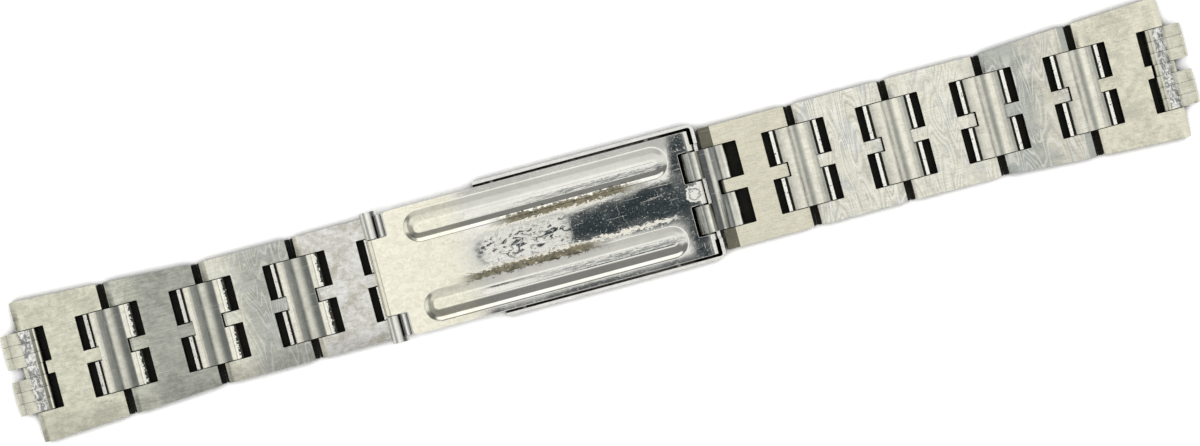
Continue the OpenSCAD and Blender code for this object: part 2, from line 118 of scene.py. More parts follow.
def pick(piece, verts=None, edges=None, faces=None):
    """Opens edit mode with only the parts of the mesh chosen that pass the test."""
    take(piece)
    kind = "VERT" if verts else "EDGE" if edges else "FACE"
    bpy.ops.object.mode_set(mode="EDIT")
    bpy.ops.mesh.select_mode(type=kind)
    bpy.ops.mesh.select_all(action="DESELECT")
    bpy.ops.object.mode_set(mode="OBJECT")
    mesh = piece.data
    if verts:
        for vert in mesh.vertices:
            vert.select = bool(verts(vert.co))
    elif edges:
        for edge in mesh.edges:
            a, b = (mesh.vertices[i].co for i in edge.vertices)
            edge.select = bool(edges(a, b))
    else:
        for face in mesh.polygons:
            face.select = bool(faces(face.center, face.normal))
    bpy.ops.object.mode_set(mode="EDIT")


def done():
    bpy.ops.object.mode_set(mode="OBJECT")


def upright(a, b):
    """Whether an edge stands from one level to another, well apart."""
    return abs(a.z - b.z) > 1


def soften(piece, edges, offset, segments):
    """Rounds the edges that pass the test."""
    pick(piece, edges=edges)
    bpy.ops.mesh.bevel(offset=offset, segments=segments, affect="EDGES")
    done()


def score(axis, *places):
    """Adds a ring of edges to the piece in edit mode, at each of these places along an axis."""
    for place in places:
        bpy.ops.mesh.select_all(action="SELECT")
        bpy.ops.mesh.bisect(plane_co=Vector(axis) * place, plane_no=axis)


def shift(piece, verts, way):
    """Moves the vertices that pass the test."""
    pick(piece, verts=verts)
    bpy.ops.transform.translate(value=way)
    done()


def sink(piece, faces, depth=0.07):
    """Presses the faces that pass the test into the piece, as a groove."""
    pick(piece, faces=faces)
    bpy.ops.mesh.extrude_region_shrink_fatten(TRANSFORM_OT_shrink_fatten={"value": -depth})
    done()


def repaint(piece, steel, chosen):
    """Gives a finish to the faces whose centre passes the test."""
    if steel.name not in piece.data.materials:
        piece.data.materials.append(steel)
    index = piece.data.materials.find(steel.name)
    for face in piece.data.polygons:
        if chosen(face.center):
            face.material_index = index


def outline_solid(name, outline, y0, y1):
    """A closed outline in X and Z, drawn edge by edge and capped at both sides."""
    (xa, za), (xb, zb) = outline[0], outline[1]
    length = math.hypot(xb - xa, zb - za)
    deselect()
    bpy.ops.mesh.primitive_plane_add(
        size=1, location=((xa + xb) / 2, (y0 + y1) / 2, (za + zb) / 2),
        rotation=(0, -math.atan2(zb - za, xb - xa), 0))
    piece = bpy.context.object
    piece.scale = (length, y1 - y0, 1)
    piece = named(name)
    pick(piece, edges=lambda a, b: max(math.hypot(p.x - xb, p.z - zb) for p in (a, b)) < 1e-4)
    last = (xb, zb)
    for point in list(outline[2:]) + [outline[0]]:
        bpy.ops.mesh.extrude_region_move(
            TRANSFORM_OT_translate={"value": (point[0] - last[0], 0, point[1] - last[1])})
        last = point
    bpy.ops.mesh.select_all(action="SELECT")
    bpy.ops.mesh.remove_doubles(threshold=2e-4)
    for side in (y0, y1):
        done()
        pick(piece, edges=lambda a, b, side=side: abs(a.y - side) < 1e-4 and abs(b.y - side) < 1e-4)
        bpy.ops.mesh.edge_face_add()
    bpy.ops.mesh.select_all(action="SELECT")
    bpy.ops.mesh.normals_make_consistent(inside=False)
    done()
    return piece


def modify(piece, kind, **values):
    """Adds a modifier with these values and applies it."""
    take(piece)
    modifier = piece.modifiers.new(kind.lower(), kind)
    for key, value in values.items():
        setattr(modifier, key, value)
    bpy.ops.object.modifier_apply(modifier=modifier.name)


def combine(piece, tool, operation="DIFFERENCE", lining=None):
    """Cuts, joins or trims a piece with a tool, which lends its finish to the new faces."""
    if lining:
        tool.data.materials.clear()
        tool.data.materials.append(lining)
    modify(piece, "BOOLEAN", operation=operation, solver="EXACT", object=tool, material_mode="TRANSFER")
    bpy.data.objects.remove(tool)
    return piece


def bore(piece, r, half, x, z, sides=32):
    """Cuts a round hole across a piece, half the tool's length to each side, and lines it with painted shade.
    """
    combine(piece, rod("bore", r, -half, half, x, z, sides), lining=shade_and_joint_lining)


def bevel(piece, width, segments):
    """Rounds every edge where the surface turns sharply."""
    modify(piece, "BEVEL", width=width, segments=segments, limit_method="ANGLE",
           angle_limit=math.radians(34), miter_outer="MITER_SHARP", use_clamp_overlap=True)


def finish(piece, width=0.0, segments=2):
    """Cleans the mesh, breaks its sharp edges and sets the shading."""
    pick(piece, faces=lambda c, n: True)
    bpy.ops.mesh.remove_doubles(threshold=1e-3)
    bpy.ops.mesh.dissolve_limited(angle_limit=math.radians(0.5), delimit={"MATERIAL", "NORMAL"})
    bpy.ops.mesh.select_all(action="SELECT")
    bpy.ops.mesh.fill_holes(sides=3)
    done()
    if width:
        bevel(piece, width, segments)
    take(piece)
    bpy.ops.object.shade_smooth_by_angle(angle=math.radians(38))
    modify(piece, "WEIGHTED_NORMAL", keep_sharp=True, weight=50)
    return piece


def fit(piece, body, slot, *replaced):
    """Brings a piece from millimetres to metres and hangs it on its body."""
    take(piece)
    piece.scale = (MM, MM, MM)
    bpy.ops.object.transform_apply(location=False, rotation=False, scale=True)
    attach(piece, body)
    if replaced:
        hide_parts(*replaced)
    return piece


# tools for materials and for the sky

class Value:
    """What a node puts out. Reckoning with it adds Math nodes."""

    def __init__(self, owner, socket):
        self.owner = owner
        self.socket = socket

    def maths(self, operation, other=0.0):
        return self.owner.value("ShaderNodeMath", {0: self, 1: other}, operation=operation)

    def __add__(self, other):
        return self.maths("ADD", other)

    def __sub__(self, other):
        return self.maths("SUBTRACT", other)

    def __mul__(self, other):
        return self.maths("MULTIPLY", other)

    def __truediv__(self, other):
        return self.maths("DIVIDE", other)

    def __neg__(self):
        return self * -1.0

    def __abs__(self):
        return self.maths("ABSOLUTE")

    def or_more(self, other):
        return self.maths("MAXIMUM", other)

    def ramp(self, low, high, out_low=0.0, out_high=1.0, curve="SMOOTHSTEP"):
        """Maps low to high to another range, clamped at both ends."""
        inputs = {"Value": self, "From Min": low, "From Max": high, "To Min": out_low, "To Max": out_high}
        return self.owner.value("ShaderNodeMapRange", inputs, "Result", interpolation_type=curve)

    def window(self, rises, risen, falls, fallen):
        """One between two places and nothing beyond them, with soft ends."""
        return self.ramp(rises, risen) * self.ramp(falls, fallen, 1.0, 0.0)


class Nodes:
    """A node tree that is built up value by value."""

    def __init__(self, tree):
        self.tree = tree

    def feed(self, socket, value):
        """Links a socket to a value, or sets it to a plain number or vector."""
        if isinstance(value, Value):
            self.tree.links.new(value.socket, socket)
        else:
            socket.default_value = value

    def node(self, kind, inputs, **options):
        made = self.tree.nodes.new(kind)
        for key, option in options.items():
            setattr(made, key, option)
        for key, value in inputs.items():
            self.feed(made.inputs[key], value)
        return made

    def value(self, kind, inputs, output=0, **options):
        return Value(self, self.node(kind, inputs, **options).outputs[output])

    def axes(self, place):
        split = self.node("ShaderNodeSeparateXYZ", {0: place})
        return [Value(self, split.outputs[axis]) for axis in "XYZ"]

    def ray(self, kind):
        """One for rays of this kind."""
        return self.value("ShaderNodeLightPath", {}, f"Is {kind} Ray")

    def mix(self, share, a, b, blend="MIX"):
        """Colour a with a share of colour b over it."""
        a, b = (part if isinstance(part, Value) else (*part, 1) for part in (a, b))
        return self.value("ShaderNodeMix", {0: share, 6: a, 7: b}, 2, data_type="RGBA", blend_type=blend)


class Finish(Nodes):
    """A material on Object coordinates; its x and y are in millimetres."""

    def __init__(self, name, metallic=1.0):
        self.material = bpy.data.materials.new(name)
        self.material.use_nodes = True
        super().__init__(self.material.node_tree)
        self.shader = self.tree.nodes["Principled BSDF"]
        self.shader.inputs["Metallic"].default_value = metallic
        self.place = self.value("ShaderNodeTexCoord", {}, "Object")
        x, y, _ = self.axes(self.place)
        self.x = x / MM
        self.y = y / MM

    def noise(self, cell, detail=3.0, rough=0.55, warp=0.0, offset=(0, 0, 0)):
        """Noise whose cells measure cell millimetres along X, Y and Z."""
        scale = [1 / (size * MM) for size in cell]
        place = self.value("ShaderNodeMapping", {"Vector": self.place, "Location": offset, "Scale": scale})
        inputs = {"Vector": place, "Scale": 1.0, "Detail": detail, "Roughness": rough, "Distortion": warp}
        return self.value("ShaderNodeTexNoise", inputs, "Fac")

    def bands(self, stops, middle, period):
        """Light and shade painted along X, repeating; a stop is the distance from a middle in millimetres,
        and a tone.
        """
        inputs = {0: self.x - middle, 1: period / 2, 2: -period / 2}
        wrapped = self.value("ShaderNodeMath", inputs, operation="WRAP")
        first, last = stops[0][0], stops[-1][0]
        table = self.node("ShaderNodeValToRGB", {"Fac": wrapped.ramp(first, last, curve="LINEAR")})
        elements = table.color_ramp.elements
        for n, (at, tone) in enumerate(stops):
            position = (at - first) / (last - first)
            element = elements[n] if n < 2 else elements.new(position)
            element.position = position
            # dark tones are a little bluer
            cool = max(0.0, 0.8 - tone) * 0.12
            element.color = (tone * (1 - cool), tone, tone * (1 + cool), 1)
        return Value(self, table.outputs["Color"])

    def openness(self, reach, samples):
        """How free of near surfaces a place is, within a reach in millimetres."""
        return self.value("ShaderNodeAmbientOcclusion", {"Distance": reach * MM}, "AO", samples=samples)

    def corner_shade(self, colour, depth):
        """Paints shade into the corners, where near surfaces close in."""
        corner = self.openness(0.35, samples=4).ramp(0.3, 0.85, depth, 0.0)
        return self.mix(corner, colour, (0.03, 0.03, 0.022))

    def bump(self, height, strength, depth, after=None):
        """Shades the surface as a relief, depth millimetres high, on top of the one that came before."""
        inputs = {"Strength": strength, "Distance": depth * MM, "Height": height}
        if after is not None:
            inputs["Normal"] = after
        return self.value("ShaderNodeBump", inputs, "Normal")

    def set(self, colour, roughness, normal):
        self.feed(self.shader.inputs["Base Color"], colour)
        self.feed(self.shader.inputs["Roughness"], roughness)
        self.feed(self.shader.inputs["Normal"], normal)
        return self.material


# kinds of steel

def scaled(parts, factor):
    return [part * factor for part in parts]


def shades(tone, spread):
    """A light and a dark shade about a tone."""
    return [min(1.0, part * (1 + spread)) for part in tone], scaled(tone, 1 - spread)


def contour_lines(made, colour, tone, strength, seed):
    """Winding light and dull lines, as unevenly polished sheet shows, with grey patches."""
    waves = made.noise((2.1, 11.0, 6.0), detail=1.2, rough=0.4, warp=0.5, offset=(seed * 3, seed, 0))
    level = (waves * 13.0).maths("PINGPONG", 0.5)
    where = made.noise((4.5, 6.0, 6.0), detail=2, offset=(5.2 + seed, 1.3, 0)).ramp(0.3, 0.5)
    tint = made.noise((1.7, 4.0, 4.0), detail=3, warp=0.8, offset=(seed, 4.2, 0)).ramp(0.5, 0.64)
    hollow = level.ramp(0.04, 0.16, 1.0, 0.0) * where
    ridge = level.ramp(0.3, 0.46) * where
    colour = made.mix(hollow * (strength * 0.55), colour, scaled(tone, 0.55))
    colour = made.mix(tint * (strength * 0.6), colour, (0.56, 0.6, 0.62))
    return made.mix(ridge * strength, colour, (0.98, 0.96, 0.88))


def hammered_dents(made, colour, start, stop):
    """Dents between two distances from the bracelet's middle, their highlights and shade painted; returns the
    colour and their height.
    """
    dents = made.noise((0.42, 0.7, 0.5), detail=3.5, rough=0.65, warp=1.0)
    inside = abs(made.x).window(start - 0.12, start + 0.12, stop - 0.15, stop + 0.15)
    dent_light_and_shade = made.mix(dents.ramp(0.4, 0.6), (0.3, 0.31, 0.3), (0.94, 0.93, 0.87))
    return made.mix(inside, colour, dent_light_and_shade), inside * (dents * 3.0)


def satin_steel(name, tone, spread=0.2, roughness=0.3, grain=(3.2, 0.2, 0.8), pits=0.4, seed=0.0, turn=None,
                low_side=None, wavy=0.0, bands=None, lines_depth=0.16, painted_strips=(), hammered=None):
    """Brushed steel with clouded wear, pits and hairline scratches.

    turn is where along X another tone starts and where it is reached, and that tone.
    low_side is what the -Y edge keeps of its light, and wavy is the strength of the contour lines.
    bands is light painted along X, as Finish.bands takes it.
    Each strip is a stretch of X and a factor on the tone there, light or shade painted where the surface
    bends.
    hammered is the stretch with dents."""
    made = Finish(name)
    clouds = made.noise((3.6, 3.0, 3.0), detail=5, rough=0.62, warp=0.6, offset=(seed, seed * 0.7, 0))
    mottle = made.noise((0.75, 0.6, 0.6), detail=3.5, rough=0.65, warp=0.4, offset=(seed * 1.3, seed, 0))
    lines = made.noise(grain, detail=2.5, offset=(seed, seed * 2.1, 0))
    fine = made.noise(scaled(grain, 0.45), detail=2, offset=(0.3, 0.7 + seed, 0.1))
    specks = made.noise((0.26, 0.24, 0.24), detail=2, offset=(1.7, 0.2 + seed, 0.5))
    scratches = made.noise((4.5, 0.11, 2.0), detail=1.5, warp=0.4, offset=(0.9, 0.5 + seed, 0.2))
    cross = made.noise((0.1, 3.6, 2.0), detail=1.5, warp=0.35, offset=(0.2 + seed, 0.8, 0.4))
    light, dark = shades(tone, spread)
    if turn:
        starts, reached, far_tone = turn
        far_light, far_dark = shades(far_tone, spread)
        far_side = (made.x + (clouds - 0.5) * 6).ramp(starts, reached)
        light = made.mix(far_side, light, far_light)
        dark = made.mix(far_side, dark, far_dark)
    colour = made.mix((clouds * 0.62 + mottle * 0.38).ramp(0.34, 0.66), dark, light)
    if wavy:
        colour = contour_lines(made, colour, tone, wavy, seed)
    # strips of painted light or shade
    for start, stop, factor in painted_strips:
        inside = made.x.window(start - 0.04, start + 0.04, stop - 0.04, stop + 0.04)
        colour = made.mix(inside, colour, scaled(tone, factor))
    if bands:
        colour = made.mix(1.0, colour, made.bands(*bands), blend="MULTIPLY")
    lumps = mottle
    if hammered:
        colour, dents = hammered_dents(made, colour, *hammered)
        lumps = mottle + dents
    if low_side:
        edge = (made.y + (clouds - 0.5) * 3).ramp(-7.8, -4.8, 1 - low_side, 0.0)
        colour = made.mix(edge, colour, (0, 0, 0))
    brushed = (lines * 0.6 + fine * 0.4).ramp(0.34, 0.66, 1 - lines_depth, 1.0)
    colour = made.mix(brushed, (0, 0, 0), colour)
    spots = specks.ramp(0.64, 0.76) * pits
    colour = made.mix(spots, colour, scaled(tone, 0.35))
    marks = scratches.ramp(0.66, 0.74).or_more(cross.ramp(0.69, 0.77))
    colour = made.mix(marks * 0.3, colour, (0.95, 0.93, 0.84))
    # painted shade in the corners
    colour = made.corner_shade(colour, 0.6)
    rough = (clouds * 0.7 + lines * 0.3).ramp(0.3, 0.7, roughness - 0.08, roughness + 0.1)
    normal = made.bump(lines, 0.4, 0.02)
    normal = made.bump(marks, 0.3, 0.015, after=normal)
    normal = made.bump(lumps + spots * -0.6, 0.3, 0.03, after=normal)
    return made.set(colour, rough, normal)


def warm_zone(made, colour, mottle, ragged, crack):
    """A warm, matt zone by the fold hinge, finely cracked."""
    zone = (made.x + ragged * 2.5).ramp(-19.5, -15.5, 1.0, 0.0)
    warm = made.mix(mottle.ramp(0.35, 0.65), (0.82, 0.79, 0.65), (0.93, 0.9, 0.76))
    colour = made.mix(zone, colour, warm)
    return made.mix(crack * zone * 0.3, colour, (0.5, 0.46, 0.32)), zone * 0.12


def rib_tarnish(made, colour, mottle, ragged, torn):
    """Tarnish along the feet of the ribs, on the side towards the middle, with a scuffed light edge."""
    off = abs(made.y - 0.08) + ragged + torn
    # the strip at +Y lies further right, and its scuffed edge ends sooner
    upper = made.y.ramp(-1.0, 1.0)
    span = (made.x + upper * -6).window(-20.5, -16.5, -3.0, 1.5)
    edge_span = made.x.ramp(-19.5, -16.5) * (made.x + upper * 7).ramp(7.5, 10.5, 1.0, 0.0)
    strip = off.window(2.4, 2.6, 3.4, 3.6) * span
    scuffed = off.window(2.1, 2.3, 2.5, 2.8) * edge_span
    brown = made.mix(mottle.ramp(0.35, 0.65), (0.05, 0.042, 0.018), (0.24, 0.205, 0.115))
    colour = made.mix(scuffed * 0.9, colour, (0.9, 0.87, 0.76))
    return made.mix(strip * 0.9, colour, brown), strip.or_more(scuffed) * 0.25


def crest_dark_reflection(made, colour, torn):
    """A dark reflection painted in streaks on the crests of the ribs, denser to the right."""
    crest = abs(abs(made.y + 0.2) - 4.9 + torn * 0.6)
    along = made.x.ramp(-15.5, -2.0, 0.0, 0.85) * made.x.ramp(8.8, 10.4, 1.0, 0.0)
    broken = made.noise((1.6, 0.12, 0.6), detail=4, rough=0.7, offset=(0.4, 0, 0)).ramp(0.36, 0.56)
    painted_reflection = crest.ramp(0.18, 0.42, 1.0, 0.0) * along * broken
    return made.mix(painted_reflection, colour, (0.13, 0.145, 0.15))


def scuffed_field(made):
    """Dull patches on the left part of the flat."""
    field = made.x.window(-16.2, -14.5, -5.2, -3.5) * abs(made.y).ramp(1.7, 2.4, 1.0, 0.0)
    patches = made.noise((1.5, 0.75, 0.8), detail=4.5, rough=0.62, warp=1.6, offset=(3.1, 0.2, 0.9))
    return field * patches.ramp(0.4, 0.56) * 0.16


def dent_painted_light(made, colour, ragged):
    """A light spot with a dark ring painted on the blade's centre knuckle, the light and shade of a slight
    dent.
    """
    along = (made.x - 12.6) * 0.85
    across = made.y - 0.1
    reach = (along * along + across * across).maths("SQRT") + ragged
    dent_highlight = reach.ramp(0.95, 1.1, 1.0, 0.0)
    dent_shade_ring = abs(reach - 0.65).ramp(0.04, 0.16, 0.75, 0.0)
    colour = made.mix(dent_highlight, colour, (0.9, 0.89, 0.83))
    return made.mix(dent_shade_ring, colour, (0.1, 0.11, 0.11)), dent_highlight * 0.3


def blade_wear_and_painted_light(made, colour, mottle, crack):
    """The inner blade's own wear, with a dark reflection painted on the rib crests and the painted light of a
    dent; returns its colour and how far it dulls the polish.
    """
    ragged = (mottle - 0.5) * 1.6
    torn = (made.noise((0.5, 0.16, 0.3), detail=4, rough=0.7, warp=0.5) - 0.5) * 1.6
    colour, warm_haze = warm_zone(made, colour, mottle, ragged, crack)
    colour, tarnish_haze = rib_tarnish(made, colour, mottle, ragged, torn)
    colour = crest_dark_reflection(made, colour, torn)
    colour, dent_haze = dent_painted_light(made, colour, ragged)
    return colour, warm_haze + tarnish_haze + scuffed_field(made) + dent_haze


def polished_steel(name, light, dark, roughness, stain=0.3, worn_and_painted=False, bands=None):
    """Polished sheet with hairlines and a few stains, with light and shade painted along X where bands are
    given, and on the inner blade its wear, a painted reflection and painted dent light.
    """
    made = Finish(name)
    clouds = made.noise((6.5, 4.0, 4.0), detail=4, rough=0.6, warp=0.5)
    mottle = made.noise((0.9, 0.7, 0.7), detail=4, rough=0.65, warp=0.8, offset=(2.2, 0.3, 0))
    fine = made.noise((0.3, 0.26, 0.26), detail=3, rough=0.6)
    hair = made.noise((5.0, 0.09, 3.0), detail=1.5, warp=0.5)
    cross = made.noise((0.11, 2.6, 2.0), detail=1.5, warp=0.6, offset=(0.4, 0.2, 0.7))
    rings = made.noise((1.9, 1.6, 1.6), detail=3, warp=1.8, offset=(0.7, 2.2, 0.1))
    colour = made.mix((clouds * 0.6 + mottle * 0.4).ramp(0.35, 0.65), dark, light)
    # light and shade painted along X
    if bands:
        colour = made.mix(1.0, colour, made.bands(*bands), blend="MULTIPLY")
    crack = abs(rings - 0.5).ramp(0.0, 0.012, 1.0, 0.0)
    marks = hair.ramp(0.71, 0.79).or_more(cross.ramp(0.71, 0.79))
    haze = marks * 0.04 + fine.ramp(0.58, 0.68) * 0.04
    if worn_and_painted:
        colour, wear = blade_wear_and_painted_light(made, colour, mottle, crack)
        haze = haze + wear
    colour = made.mix(crack * clouds.ramp(0.5, 0.62) * stain, colour, scaled(dark, 0.6))
    # painted shade in the corners
    colour = made.corner_shade(colour, 0.7)
    rough = clouds.ramp(0.35, 0.65, roughness - 0.01, roughness + 0.01) + haze
    normal = made.bump(marks, 0.15, 0.003)
    normal = made.bump(fine, 0.03, 0.003, after=normal)
    return made.set(colour, rough, normal)


def glinting_edge_steel(name, dark_share, size, fade=()):
    """The torn cut edge of sheet, a jagged glint painted among painted shade; fade says how it darkens along
    X, as Finish.bands takes it.
    """
    made = Finish(name)
    lumps = made.noise((size, size * 1.25, size), detail=2.5, rough=0.6)
    light = lumps + (made.bands(*fade) - 0.5) if fade else lumps
    bright = light.ramp(dark_share - 0.06, dark_share + 0.06)
    colour = made.mix(bright, (0.05, 0.05, 0.042), (0.95, 0.94, 0.86))
    return made.set(colour, lumps.ramp(0.3, 0.7, 0.16, 0.34), made.bump(lumps, 0.4, 0.04))


def shade_and_joint_steel(name):
    """Near-black inner faces: painted shade in pockets, bores, slots and hollows, and the dark of the joints
    between leaves.
    """
    made = Finish(name, metallic=0.35)
    dust = made.noise((0.7, 0.8, 0.6), detail=4)
    colour = made.mix(dust.ramp(0.35, 0.7), (0.006, 0.006, 0.004), (0.022, 0.021, 0.016))
    return made.set(colour, dust.ramp(0.3, 0.7, 0.62, 0.9), made.bump(dust, 0.5, 0.05))


def cover_inside_steel(name):
    """Dull steel inside the cover, painted dark as shade, and near black towards the hinge end where the
    painted shade deepens.
    """
    made = Finish(name)
    clouds = made.noise((2.5, 1.6, 1.2), detail=4, warp=0.4)
    dust = made.noise((0.4, 0.5, 0.4), detail=3)
    steel = made.mix(clouds.ramp(0.35, 0.65), (0.2, 0.2, 0.19), (0.4, 0.4, 0.37))
    shaded_end = (made.x + (clouds - 0.5) * 2).ramp(9.6, 10.8)
    colour = made.mix(shaded_end, steel, (0.014, 0.014, 0.011))
    return made.set(colour, dust.ramp(0.3, 0.7, 0.42, 0.62), made.bump(dust, 0.3, 0.02))


# what sets each plate apart from the others; a strip is light or shade painted on a bend
PLATES = {
    1: dict(tone=(0.78, 0.77, 0.62), spread=0.26, low_side=0.84),
    2: dict(tone=(0.67, 0.68, 0.57), spread=0.3, low_side=0.84, lines_depth=0.3,
            turn=(-61.5, -59.0, (0.46, 0.47, 0.41))),
    3: dict(tone=(0.82, 0.8, 0.66), spread=0.28, low_side=0.72, wavy=0.35,
            turn=(-48.5, -45.5, (0.5, 0.51, 0.455)), painted_strips=((-51.3, -50.5, 0.85),)),
    4: dict(tone=(0.86, 0.82, 0.69), spread=0.4, low_side=0.74, painted_strips=((-38.85, -38.1, 1.08),)),
    5: dict(tone=(0.82, 0.79, 0.66), spread=0.36, low_side=0.74),
    6: dict(tone=(0.79, 0.76, 0.61), spread=0.11),
    7: dict(tone=(0.84, 0.82, 0.7), spread=0.14, wavy=0.85),
    8: dict(tone=(0.86, 0.84, 0.71), spread=0.16, wavy=0.7),
    9: dict(tone=(0.5, 0.52, 0.47), spread=0.18, wavy=0.5,
            turn=(56.5, 59.5, (0.72, 0.695, 0.59)), painted_strips=((62.9, 63.75, 0.95),)),
    10: dict(tone=(0.78, 0.755, 0.61), spread=0.24, painted_strips=((64.8, 65.7, 1.1), (75.3, 76.2, 1.12))),
}
# the domes on each side have their middles whole pitches from these places
LEFT_DOME, RIGHT_DOME = -2.025, 2.025
# a period so long that nothing repeats
ONCE = 2000
# where link 6's first pin and the fold hinge lie along X
ROLL_X, FOLD_X = 16.73, -28.8
# light painted across the domes, from the flange on the left to that on the right
DOMES_LEFT = ((-2.4, 1.0), (-1.5, 0.95), (-1.25, 0.45), (-0.75, 0.33), (-0.3, 0.42), (0.1, 0.78),
              (0.45, 0.72), (0.75, 0.5), (1.05, 0.25), (1.45, 0.2), (1.62, 0.26), (1.8, 1.0), (2.4, 1.0))
DOMES_RIGHT = ((-2.4, 0.55), (-1.9, 0.72), (-1.5, 1.0), (-1.0, 1.15), (-0.5, 0.84), (-0.2, 0.74),
               (0.05, 0.42), (0.3, 0.45), (0.55, 0.78), (0.8, 1.12), (1.25, 1.08), (1.6, 0.85), (2.0, 0.5))
# light and shade painted across the barrels on the blade hinge, then across the roll round the link's pin
ROLL_PAINTED_SHADING = ((-5.0, 0.4), (-4.7, 1.15), (-4.5, 0.25), (-4.1, 0.5), (-3.85, 0.95), (-3.6, 0.2),
              (-3.3, 0.7), (-3.0, 1.2), (-2.7, 0.7), (-2.45, 0.16), (-1.65, 0.14), (-1.4, 0.9),
              (-1.15, 1.15), (-0.9, 0.35), (-0.35, 0.5), (-0.2, 0.2), (0.0, 0.75), (0.4, 0.85),
              (0.75, 1.25), (1.35, 1.2))
# light and shade painted across the corner knuckles on the fold hinge and the curled strip beside them
KNUCKLE_PAINTED_SHADING = ((-1.0, 0.35), (-0.72, 1.0), (-0.42, 0.92), (-0.33, 0.3), (-0.2, 0.85), (0.15, 1.05),
                 (0.45, 0.8), (0.62, 0.3), (0.8, 0.25), (1.0, 0.3), (1.12, 0.9), (1.45, 1.0), (1.6, 0.4),
                 (1.75, 0.3), (1.9, 0.4))
# how the glint painted on torn edges darkens into painted shade away from the middle of the gap
TORN_GLINT_FADE = ((2.2, 0.95), (2.5, 0.8), (2.72, 0.52), (3.0, 0.34), (3.3, 0.25))
# grain that runs across the bracelet
CROSS_GRAIN = (0.12, 1.6, 0.6)
LIGHT_POLISH = (0.84, 0.83, 0.77)


def dome_steel(side, stops, middle, seed):
    """The steel of the connectors on one side of the clasp."""
    return satin_steel(f"connector_satin_{side}", (0.85, 0.83, 0.71), 0.16, roughness=0.2, grain=CROSS_GRAIN,
                       pits=0.2, bands=(stops, middle, PITCH), lines_depth=0.1, seed=seed)


plate_satin = {n: satin_steel(f"link_satin_{n:02d}", seed=n * 1.7, roughness=0.26, **look)
               for n, look in PLATES.items()}
dome_left = dome_steel("left", DOMES_LEFT, LEFT_DOME, 0.4)
dome_right = dome_steel("right", DOMES_RIGHT, RIGHT_DOME, 3.3)
conn_satin = satin_steel("connector_satin", (0.74, 0.73, 0.66), 0.16, roughness=0.2, grain=CROSS_GRAIN,
                         pits=0.2)
# painted strips of shade and highlight by end link a's ridge, and painted light and shade on both ends' dents
end_satin = satin_steel("end_satin", (0.74, 0.73, 0.6), 0.18, roughness=0.24, pits=0.2,
                        painted_strips=((-74.5, -74.08, 0.35), (-74.08, -73.9, 1.3), (-73.9, -73.0, 0.3)),
                        hammered=(74.55, 75.95))
cover_satin = satin_steel("cover_satin", (0.84, 0.83, 0.78), 0.12, roughness=0.22, pits=0.2)
roll_steel = satin_steel("roll_steel", (0.82, 0.81, 0.72), 0.16, roughness=0.16, grain=(0.14, 3.0, 0.6),
                         pits=0.2, bands=(ROLL_PAINTED_SHADING, ROLL_X, ONCE))
# painted shade for link 6's bend beside the clasp
painted_shade_strip = satin_steel("painted_shade_strip", (0.21, 0.2, 0.15), roughness=0.4)
blade_polish = polished_steel("blade_polish", LIGHT_POLISH, (0.74, 0.73, 0.67), 0.022, worn_and_painted=True)
knuckle_polish = polished_steel("knuckle_polish", (0.88, 0.87, 0.8), (0.76, 0.75, 0.69), 0.1, stain=0.2,
                                bands=(KNUCKLE_PAINTED_SHADING, FOLD_X, ONCE))
lower_polish = polished_steel("lower_blade_polish", LIGHT_POLISH, (0.7, 0.7, 0.65), 0.09)
pin_steel = satin_steel("pin_steel", (0.4, 0.4, 0.385), grain=(0.1, 2.0, 0.5))
spring_steel = satin_steel("spring_steel", (0.23, 0.23, 0.23), roughness=0.4, grain=(0.5, 0.12, 0.5))
# jagged glints and shade painted on the cut and torn edges
glinting_cut_edge = glinting_edge_steel("glinting_cut_edge", 0.36, 0.22)
glinting_torn_edge = glinting_edge_steel("glinting_torn_edge", 0.5, 0.34, fade=(TORN_GLINT_FADE, LEFT_DOME, PITCH))
shade_and_joint_lining = shade_and_joint_steel("shade_and_joint_lining")
cover_inside = cover_inside_steel("cover_inside")


# links

def pin_places(n):
    """Where the two pins of a link stand along X, in millimetres."""
    low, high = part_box(f"link_pins_{n:02d}")
    return low.x / MM + PIN_R, high.x / MM - PIN_R


def pocket_cutter(end, length, way, tongue):
    """What is cut from a link's end to leave its pocket, and the tongue that stands in it."""
    pin_x = end + way * PIN_INSET
    cutter = block("pocket", *stretch(end, way, -1.1, length), -POCKET_W / 2, POCKET_W / 2,
                   LINK_SHEET + 0.01, LINK_T + 0.6)
    soften(cutter, upright, 0.12, 2)
    if tongue:
        nose = arc(pin_x, PIN_Z, TONGUE_R, 270 if way > 0 else -90, 90, 14)
    else:
        start = pin_x + way * (BARREL_R + 0.13)
        nose = [(start, PIN_Z - TONGUE_R), (start, PIN_Z + TONGUE_R)]
    inner = end + way * (length + 0.5)
    slab = nose + [(nose[-1][0], LINK_T + 1), (inner, LINK_T + 1), (inner, PIN_Z - TONGUE_R)]
    return combine(cutter, outline_solid("slab", slab, -TONGUE_W / 2, TONGUE_W / 2))


